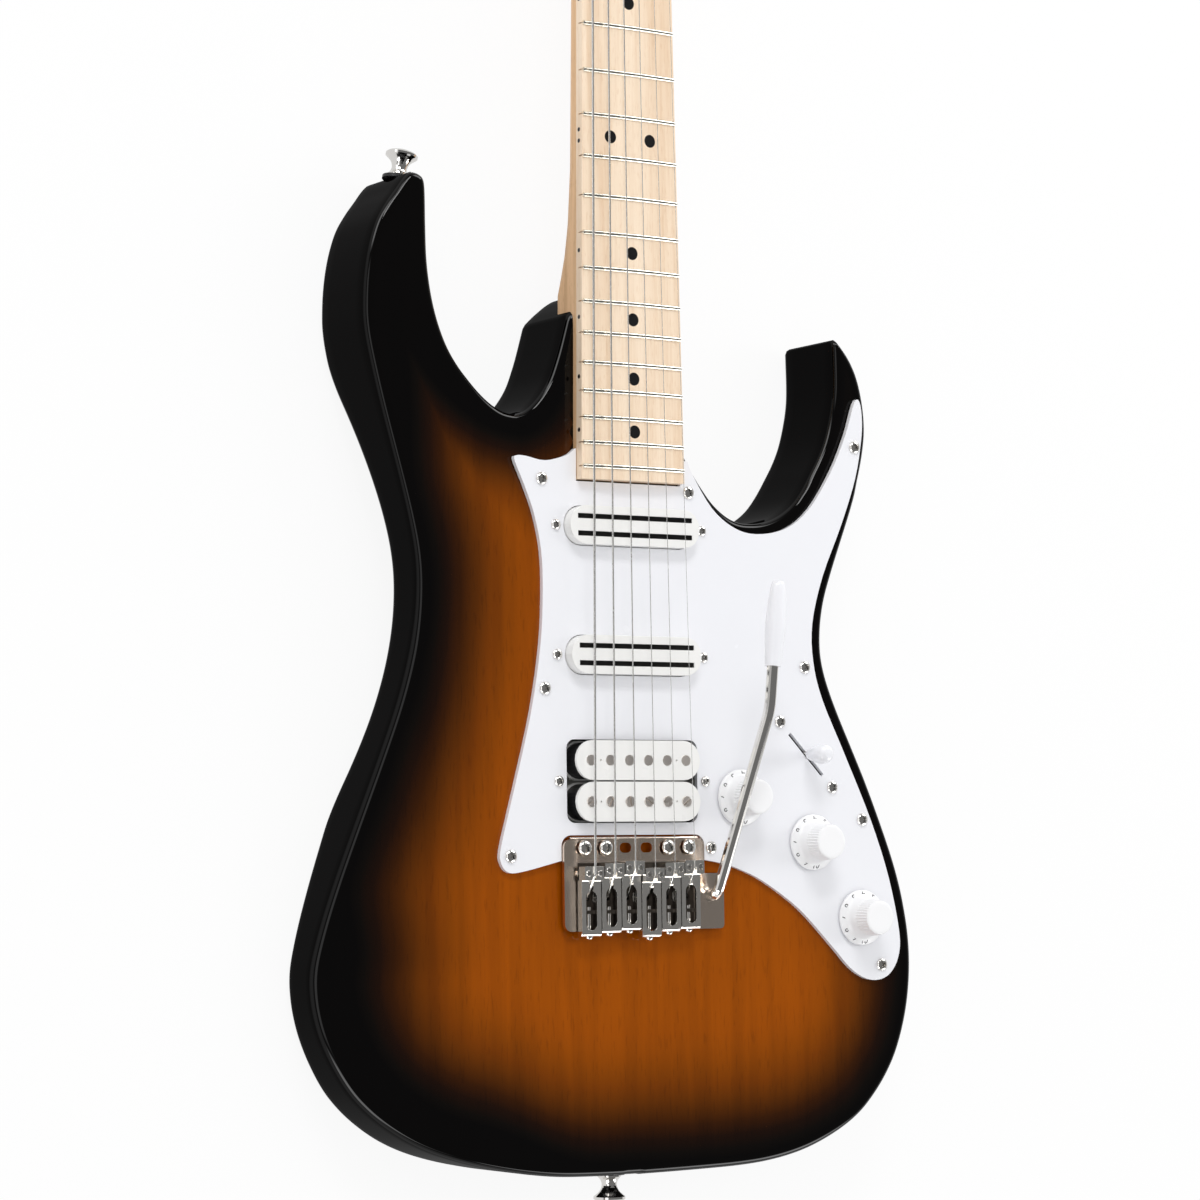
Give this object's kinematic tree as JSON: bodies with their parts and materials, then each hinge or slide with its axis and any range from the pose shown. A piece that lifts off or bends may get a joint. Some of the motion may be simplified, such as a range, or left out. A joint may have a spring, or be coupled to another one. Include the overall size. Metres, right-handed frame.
{
  "type": "electric guitar",
  "caption": "Solid-body electric guitar with bolt-on maple neck, sprung tremolo bridge, three pickups, three rotary controls and a five-way selector.",
  "frame": {"origin": "centre line of the neck at the line of the bridge saddles' string contact, on the flat back of the body", "axes": "+Y along the neck towards the headstock, +X towards the treble side, +Z out of the front face"},
  "size_m": [0.3156, 0.9788, 0.0898],
  "materials": {
    "sunburst_lacquer": "gloss",
    "white_plastic": "gloss",
    "bobbin_plastic": "satin",
    "maple": "satin",
    "pale_maple": "satin",
    "fret_metal": "polished",
    "black_inlay": "gloss",
    "bone_plastic": "satin",
    "black_plastic": "satin",
    "plain_steel": "satin",
    "chrome": "polished",
    "green_film": "gloss"
  },
  "bodies": {
    "instrument": {"body_bass_half": "sunburst_lacquer", "body_treble_half": "sunburst_lacquer", "pickguard": "white_plastic", "single_pickup_covers": "white_plastic", "humbucker_bobbins": "bobbin_plastic", "neck": "maple", "fretboard": "pale_maple", "frets": "fret_metal", "strings": "fret_metal", "inlay_dots": "black_inlay", "nut": "bone_plastic", "truss_rod_cover": "black_plastic", "spring_cover": "black_plastic", "jack_plate": "black_plastic", "strap_washers": "black_plastic", "pickup_blades": "black_plastic", "pickup_coils": "black_plastic", "truss_rod": "plain_steel", "tremolo_springs": "plain_steel", "spring_claw": "plain_steel", "pot_housings": "plain_steel", "humbucker_baseplate": "plain_steel", "humbucker_poles": "plain_steel", "selector_switch": "plain_steel", "panel_screws": "chrome", "neck_bolts": "chrome", "neck_ferrules": "chrome", "pickup_screws": "chrome", "bridge_screws": "chrome", "hex_nuts": "chrome", "output_jack": "chrome", "strap_buttons": "chrome", "long_wood_screws": "chrome", "tuner_housings": "chrome", "string_trees": "chrome", "tone_capacitor": "green_film"},
    "tremolo": {"bridge_plate": "chrome", "bridge_block": "plain_steel", "block_screws": "chrome", "saddles": "chrome", "saddle_screws": "chrome"},
    "arm": {"tremolo_arm": "chrome", "arm_tip": "white_plastic"},
    "volume_control": {"volume_knob": "white_plastic"},
    "upper_tone_control": {"upper_tone_knob": "white_plastic"},
    "lower_tone_control": {"lower_tone_knob": "white_plastic"},
    "selector": {"selector_lever": "chrome", "selector_tip": "white_plastic"},
    "key_1": {"tuner_key_1": "chrome"},
    "post_1": {"string_post_1": "chrome"},
    "key_2": {"tuner_key_2": "chrome"},
    "post_2": {"string_post_2": "chrome"},
    "key_3": {"tuner_key_3": "chrome"},
    "post_3": {"string_post_3": "chrome"},
    "key_4": {"tuner_key_4": "chrome"},
    "post_4": {"string_post_4": "chrome"},
    "key_5": {"tuner_key_5": "chrome"},
    "post_5": {"string_post_5": "chrome"},
    "key_6": {"tuner_key_6": "chrome"},
    "post_6": {"string_post_6": "chrome"}
  },
  "joints": [
    {"name": "tremolo_tilt", "type": "hinge", "parent": "instrument", "child": "tremolo", "pos_m": [0, 0.0133, 0.047], "axis": [-1, 0, 0], "range_deg": [-2.5, 8], "stiffness_Nm_per_rad": 12, "deforming": ["strings", "tremolo_springs"]},
    {"name": "arm_swivel", "type": "hinge", "parent": "tremolo", "child": "arm", "pos_m": [0.0405, -0.013, 0.048], "axis": [0, 0, 1], "range_deg": [-90, 30]},
    {"name": "volume_turn", "type": "hinge", "parent": "instrument", "child": "volume_control", "pos_m": [0.0593, 0.032, 0.05], "axis": [0, 0, 1], "range_deg": [-150, 150]},
    {"name": "upper_tone_turn", "type": "hinge", "parent": "instrument", "child": "upper_tone_control", "pos_m": [0.1, 0.011, 0.05], "axis": [0, 0, 1], "range_deg": [-150, 150]},
    {"name": "lower_tone_turn", "type": "hinge", "parent": "instrument", "child": "lower_tone_control", "pos_m": [0.1275, -0.0246, 0.05], "axis": [0, 0, 1], "range_deg": [-150, 150]},
    {"name": "selector_throw", "type": "hinge", "parent": "instrument", "child": "selector", "pos_m": [0.0975, 0.052, 0.024], "axis": [0.7193, 0.6947, 0], "range_deg": [-20, 20]},
    {"name": "tuner_key_1_turn", "type": "hinge", "parent": "instrument", "child": "key_1", "pos_m": [-0.01952, 0.68712, 0.0258], "axis": [-0.9662, 0.2577, 0], "continuous": true},
    {"name": "string_post_1_turn", "type": "hinge", "parent": "instrument", "child": "post_1", "pos_m": [-0.02089, 0.682, 0.031], "axis": [0, 0, 1], "continuous": true},
    {"name": "tuner_key_2_turn", "type": "hinge", "parent": "instrument", "child": "key_2", "pos_m": [-0.01238, 0.71162, 0.0258], "axis": [-0.9662, 0.2577, 0], "continuous": true},
    {"name": "string_post_2_turn", "type": "hinge", "parent": "instrument", "child": "post_2", "pos_m": [-0.01374, 0.7065, 0.031], "axis": [0, 0, 1], "continuous": true},
    {"name": "tuner_key_3_turn", "type": "hinge", "parent": "instrument", "child": "key_3", "pos_m": [-0.00552, 0.73612, 0.0258], "axis": [-0.9662, 0.2577, 0], "continuous": true},
    {"name": "string_post_3_turn", "type": "hinge", "parent": "instrument", "child": "post_3", "pos_m": [-0.00689, 0.731, 0.031], "axis": [0, 0, 1], "continuous": true},
    {"name": "tuner_key_4_turn", "type": "hinge", "parent": "instrument", "child": "key_4", "pos_m": [0.00103, 0.76062, 0.0258], "axis": [-0.9662, 0.2577, 0], "continuous": true},
    {"name": "string_post_4_turn", "type": "hinge", "parent": "instrument", "child": "post_4", "pos_m": [-0.00033, 0.7555, 0.031], "axis": [0, 0, 1], "continuous": true},
    {"name": "tuner_key_5_turn", "type": "hinge", "parent": "instrument", "child": "key_5", "pos_m": [0.00724, 0.78512, 0.0258], "axis": [-0.9662, 0.2577, 0], "continuous": true},
    {"name": "string_post_5_turn", "type": "hinge", "parent": "instrument", "child": "post_5", "pos_m": [0.00587, 0.78, 0.031], "axis": [0, 0, 1], "continuous": true},
    {"name": "tuner_key_6_turn", "type": "hinge", "parent": "instrument", "child": "key_6", "pos_m": [0.01315, 0.80962, 0.0258], "axis": [-0.9662, 0.2577, 0], "continuous": true},
    {"name": "string_post_6_turn", "type": "hinge", "parent": "instrument", "child": "post_6", "pos_m": [0.01178, 0.8045, 0.031], "axis": [0, 0, 1], "continuous": true}
  ],
  "couplings": [
    {"joint": "string_post_1_turn", "follows": "tuner_key_1_turn", "ratio": 0.066667},
    {"joint": "string_post_2_turn", "follows": "tuner_key_2_turn", "ratio": 0.066667},
    {"joint": "string_post_3_turn", "follows": "tuner_key_3_turn", "ratio": 0.066667},
    {"joint": "string_post_4_turn", "follows": "tuner_key_4_turn", "ratio": 0.066667},
    {"joint": "string_post_5_turn", "follows": "tuner_key_5_turn", "ratio": 0.066667},
    {"joint": "string_post_6_turn", "follows": "tuner_key_6_turn", "ratio": 0.066667}
  ]
}
